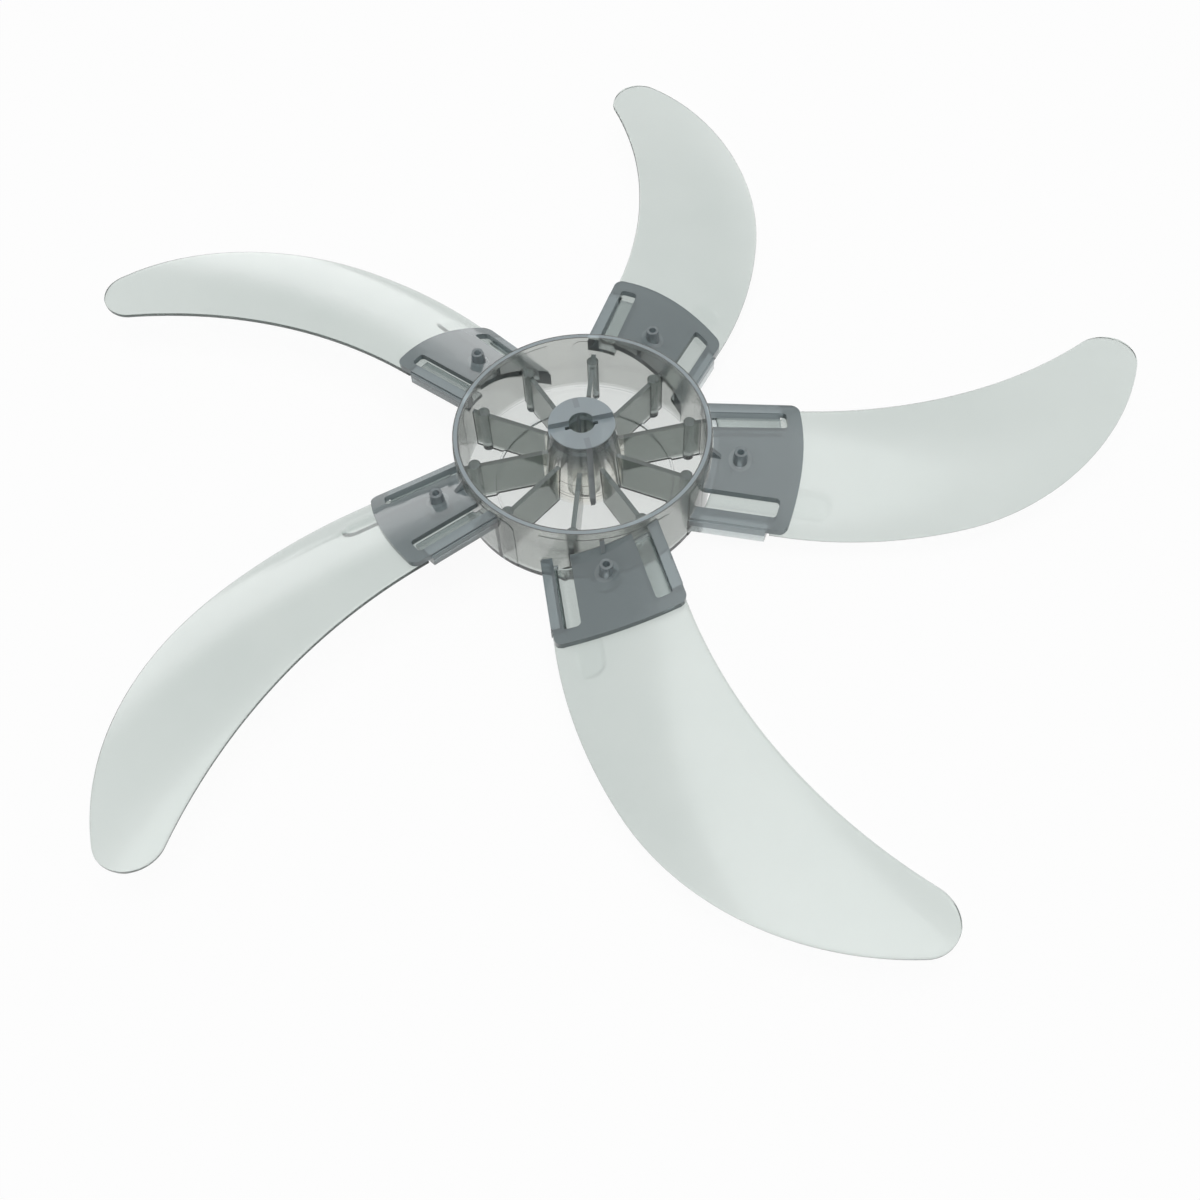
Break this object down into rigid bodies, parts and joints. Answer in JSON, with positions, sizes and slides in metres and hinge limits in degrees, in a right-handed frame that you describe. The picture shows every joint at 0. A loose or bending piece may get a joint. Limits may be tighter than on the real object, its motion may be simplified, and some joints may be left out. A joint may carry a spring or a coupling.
{
  "type": "pedestal fan blade",
  "caption": "Translucent pedestal fan impeller: a ribbed cup-shaped hub with a shaft bore and drive-pin slot, and curved, twisted blades held in sockets on its arms.",
  "frame": {"origin": "on the shaft axis, where the shaft bore opens in the plane of the hub's front face", "axes": "+Z along the shaft axis towards the motor; +X along the drive-pin slot in the boss; the hub rests on its front face in the plane z = 0"},
  "size_m": [0.3368, 0.3492, 0.0284],
  "materials": {
    "smoke_plastic": "smoky grey translucent moulding, satin gloss",
    "clear_plastic": "pale green-grey translucent moulding, gloss"
  },
  "bodies": {
    "root": {"hub": "smoke_plastic", "blade_1": "clear_plastic", "blade_2": "clear_plastic", "blade_3": "clear_plastic", "blade_4": "clear_plastic", "blade_5": "clear_plastic"}
  },
  "joints": []
}
